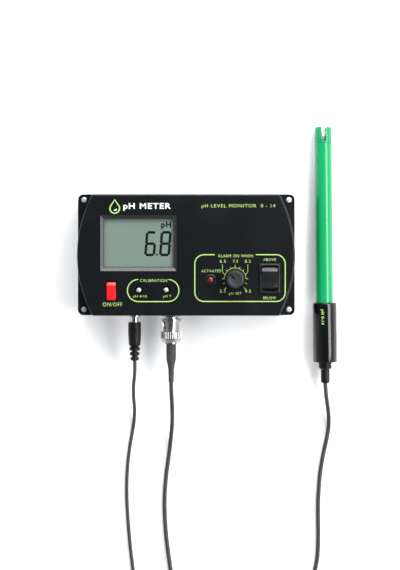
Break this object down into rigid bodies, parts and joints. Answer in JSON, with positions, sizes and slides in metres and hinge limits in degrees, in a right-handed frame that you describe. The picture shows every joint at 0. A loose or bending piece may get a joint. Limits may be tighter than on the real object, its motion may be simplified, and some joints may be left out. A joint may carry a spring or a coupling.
{
  "type": "ph meter",
  "caption": "Wall-mounting pH monitor with display, calibration and alarm controls, a plugged-in electrode and a mains adapter lead.",
  "frame": {"origin": "middle of the case's back face, which lies on the table", "axes": "+Z out of the front panel, +Y up the panel, away from the sockets, +X to the panel's right"},
  "size_m": [0.2822, 0.381, 0.0486],
  "materials": {
    "case_plastic": "fine satin texture, moulded ABS",
    "screw_steel": "zinc plated, slightly dull",
    "bezel_plastic": "dark grey semi-gloss moulding",
    "display_glass": "grey-green reflective display cell",
    "contact_rubber": "striped conductive rubber",
    "board_laminate": "green solder mask",
    "chip_black": "black moulding compound",
    "tinned_metal": "bright tin plating",
    "switch_black": "black nylon, semi-gloss",
    "rocker_red": "translucent red, glossy",
    "lamp_red": "deep red tinted dome",
    "knob_grey": "dark grey, satin",
    "shaft_metal": "turned metal",
    "jack_black": "black nylon",
    "nickel": "bright nickel plating",
    "gold_contact": "gold plated",
    "white_insulator": "white PTFE",
    "grip_black": "soft black overmould",
    "lead_black": "black PVC sheath, slight sheen",
    "adapter_plastic": "fine spark-eroded texture",
    "tube_green": "bright green epoxy body, glossy",
    "cap_black": "black, high gloss",
    "bulb_glass": "thin clear glass",
    "silver_wire": "silver with a chloride coat"
  },
  "bodies": {
    "case": {"alarm_lamp": "lamp_red", "alarm_switch_body": "switch_black", "alarm_switch_tabs": "tinned_metal", "base_tray": "case_plastic", "bnc_boot": "grip_black", "bnc_contact": "gold_contact", "bnc_insulator": "white_insulator", "bnc_nut": "nickel", "bnc_pin": "gold_contact", "bnc_plug": "nickel", "bnc_socket": "nickel", "board_chips": "chip_black", "board_screws": "screw_steel", "case_screws": "screw_steel", "contact_strips": "contact_rubber", "control_nut": "shaft_metal", "display_bezel": "bezel_plastic", "display_glass": "display_glass", "display_holder": "bezel_plastic", "electrode_cap": "cap_black", "electrode_coil": "lead_black", "electrode_guard": "tube_green", "electrode_lead": "lead_black", "electrode_lead_return": "lead_black", "electrode_relief": "grip_black", "electrode_tube": "tube_green", "front_cover": "case_plastic", "glass_bulb": "bulb_glass", "jack_nut": "shaft_metal", "lamp_ring": "switch_black", "main_board": "board_laminate", "offset_trimmer": "chip_black", "power_jack": "jack_black", "power_jack_pin": "shaft_metal", "power_switch_body": "switch_black", "power_switch_pins": "tinned_metal", "reference_wire": "silver_wire", "setpoint_control": "chip_black", "slope_trimmer": "chip_black", "smoothing_capacitor": "chip_black", "voltage_regulator": "chip_black"},
    "power_rocker": {"power_rocker": "rocker_red"},
    "alarm_rocker": {"alarm_rocker": "switch_black"},
    "setpoint_knob": {"setpoint_knob": "knob_grey", "setpoint_shaft": "shaft_metal"},
    "offset_screw": {"offset_screw": "screw_steel"},
    "slope_screw": {"slope_screw": "screw_steel"},
    "bayonet_ring": {"bnc_ring": "nickel"},
    "power_supply_lead": {"power_plug_barrel": "shaft_metal", "power_plug_grip": "grip_black", "power_lead": "lead_black", "power_coil": "lead_black", "power_lead_tail": "lead_black", "adapter_lower_shell": "adapter_plastic", "adapter_upper_shell": "adapter_plastic", "adapter_blades": "tinned_metal", "adapter_transformer": "shaft_metal", "adapter_strain_relief": "grip_black"}
  },
  "joints": [
    {"name": "power_rocker_tilt", "type": "hinge", "parent": "case", "child": "power_rocker", "pos_m": [-0.0514, -0.0244, 0.0315], "axis": [1, 0, 0], "range_deg": [-16, 0]},
    {"name": "alarm_rocker_tilt", "type": "hinge", "parent": "case", "child": "alarm_rocker", "pos_m": [0.0574, -0.016, 0.0353], "axis": [1, 0, 0], "range_deg": [-16, 0]},
    {"name": "setpoint_knob_turn", "type": "hinge", "parent": "case", "child": "setpoint_knob", "pos_m": [0.0337, -0.0163, 0.0365], "axis": [0, 0, 1], "range_deg": [-180, 90]},
    {"name": "offset_screw_turn", "type": "hinge", "parent": "case", "child": "offset_screw", "pos_m": [-0.0138, -0.0241, 0.034], "axis": [0, 0, 1], "range_deg": [-135, 135]},
    {"name": "slope_screw_turn", "type": "hinge", "parent": "case", "child": "slope_screw", "pos_m": [-0.0325, -0.0241, 0.034], "axis": [0, 0, 1], "range_deg": [-135, 135]},
    {"name": "bayonet_ring_turn", "type": "hinge", "parent": "case", "child": "bayonet_ring", "pos_m": [-0.0109, -0.05, 0.02], "axis": [0, 1, 0], "range_deg": [0, 60]},
    {"name": "power_plug_pull", "type": "slide", "parent": "case", "child": "power_supply_lead", "axis": [0, -1, 0], "range_m": [0, 0.01]}
  ]
}
